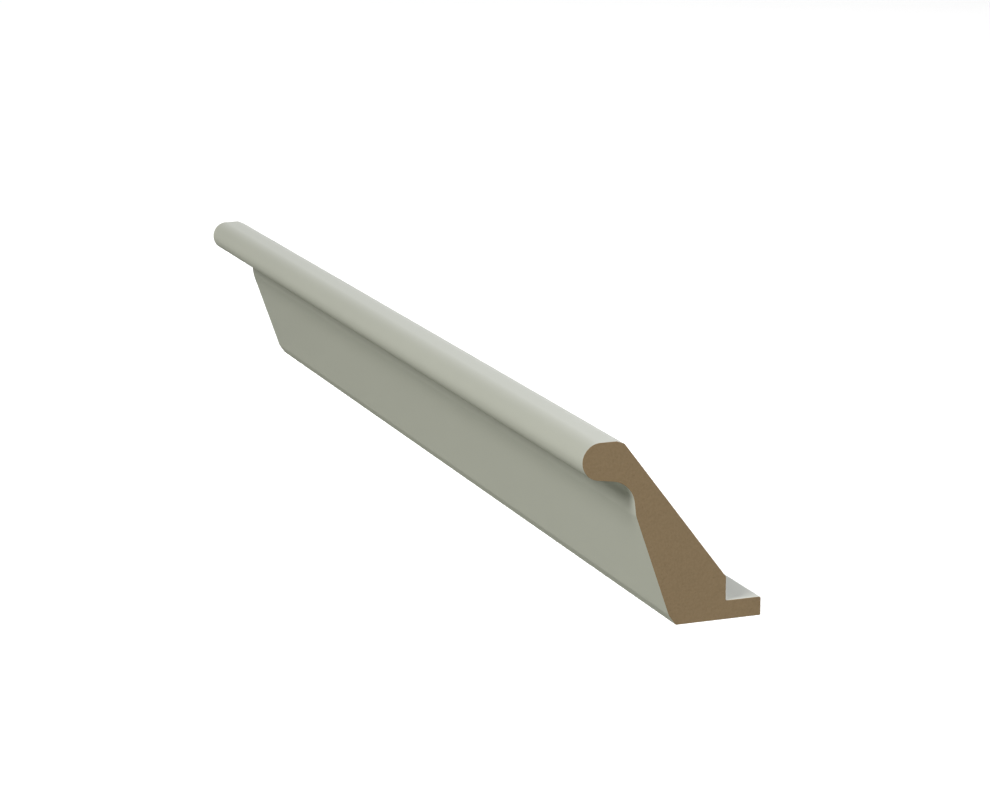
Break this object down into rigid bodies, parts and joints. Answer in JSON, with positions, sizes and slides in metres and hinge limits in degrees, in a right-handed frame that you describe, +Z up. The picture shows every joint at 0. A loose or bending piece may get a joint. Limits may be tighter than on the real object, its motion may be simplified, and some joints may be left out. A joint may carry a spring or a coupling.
{
  "type": "crown moulding piece",
  "caption": "Straight crown moulding length with a bead along its top edge, a cove, a sloping painted face, a chamfered foot and a flat ledge behind for fixing.",
  "frame": {"origin": "middle of the flat underside, on the plane that sits on what the moulding crowns", "axes": "+X along the length, -Y out of the face that shows, +Y towards the fixing ledge, +Z up towards the bead"},
  "size_m": [0.35, 0.0502, 0.05],
  "materials": {
    "painted_fibreboard": "satin grey-green paint on moulded fibreboard; the two cut ends are bare brown board"
  },
  "bodies": {
    "root": {"crown_moulding": "painted_fibreboard"}
  },
  "joints": []
}
